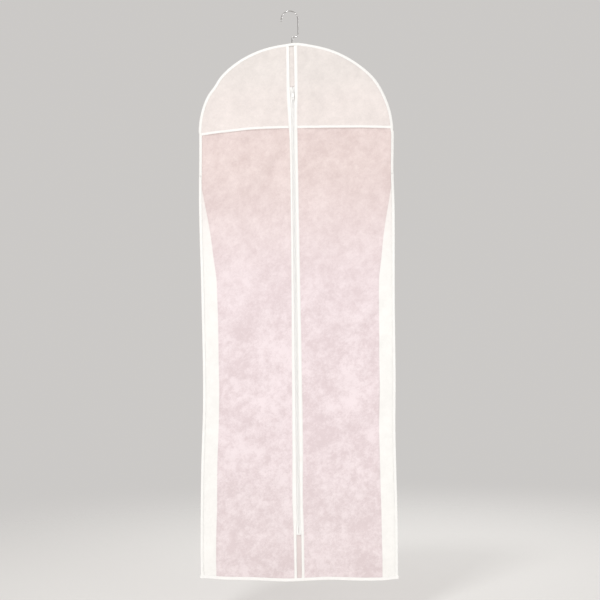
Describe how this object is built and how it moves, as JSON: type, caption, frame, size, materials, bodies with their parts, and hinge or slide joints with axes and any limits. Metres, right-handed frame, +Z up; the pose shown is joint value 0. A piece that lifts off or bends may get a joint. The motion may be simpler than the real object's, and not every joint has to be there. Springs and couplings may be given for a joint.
{
  "type": "garment bag",
  "caption": "Long white nonwoven garment bag with an arched shoulder, full-length centre zip and folded side gussets, hanging on a swivel-hook hanger.",
  "frame": {"origin": "the point inside the top of the hook that rests on the rod", "axes": "+Z up along the hook's shank, front with the zip facing -Y, +X to the viewer's right from the front"},
  "size_m": [0.602, 0.0289, 1.7446],
  "materials": {
    "shell_cloth": "matte",
    "yoke_cloth": "matte",
    "gusset_cloth": "matte",
    "binding_tape": "matte",
    "zip_fabric": "matte",
    "zip_nylon": "satin",
    "slider_enamel": "gloss",
    "hook_metal": "polished",
    "hanger_plastic": "satin"
  },
  "bodies": {
    "hook": {"hanger_hook": "hook_metal"},
    "bag": {"hanger_body": "hanger_plastic", "front_panel_left": "shell_cloth", "front_panel_right": "shell_cloth", "back_panel": "shell_cloth", "yoke_left": "yoke_cloth", "yoke_right": "yoke_cloth", "yoke_hem_left": "binding_tape", "yoke_hem_right": "binding_tape", "gusset_left": "gusset_cloth", "gusset_right": "gusset_cloth", "arch_binding_left": "binding_tape", "arch_binding_right": "binding_tape", "side_binding_front_left": "binding_tape", "side_binding_front_right": "binding_tape", "side_binding_back_left": "binding_tape", "side_binding_back_right": "binding_tape", "bottom_binding": "binding_tape", "placket_hem_left": "binding_tape", "placket_hem_right": "binding_tape", "zip_top_facing": "yoke_cloth", "zip_bottom_facing": "shell_cloth", "zip_tape_left": "zip_fabric", "zip_tape_right": "zip_fabric", "zip_coil_left": "zip_nylon", "zip_coil_right": "zip_nylon", "zip_top_stops": "zip_nylon", "zip_bottom_stop": "zip_nylon"},
    "slider": {"zip_slider": "slider_enamel"},
    "pull": {"zip_pull_tab": "slider_enamel"}
  },
  "joints": [
    {"name": "hook_swivel", "type": "hinge", "parent": "hook", "child": "bag", "pos_m": [0, 0, -0.1], "axis": [0, 0, 1], "continuous": true},
    {"name": "zip_travel", "type": "slide", "parent": "bag", "child": "slider", "axis": [0, 0, -1], "range_m": [0, 1.348]},
    {"name": "pull_flip", "type": "hinge", "parent": "slider", "child": "pull", "pos_m": [0, -0.01445, -0.245], "axis": [-1, 0, 0], "range_deg": [0, 170]}
  ]
}
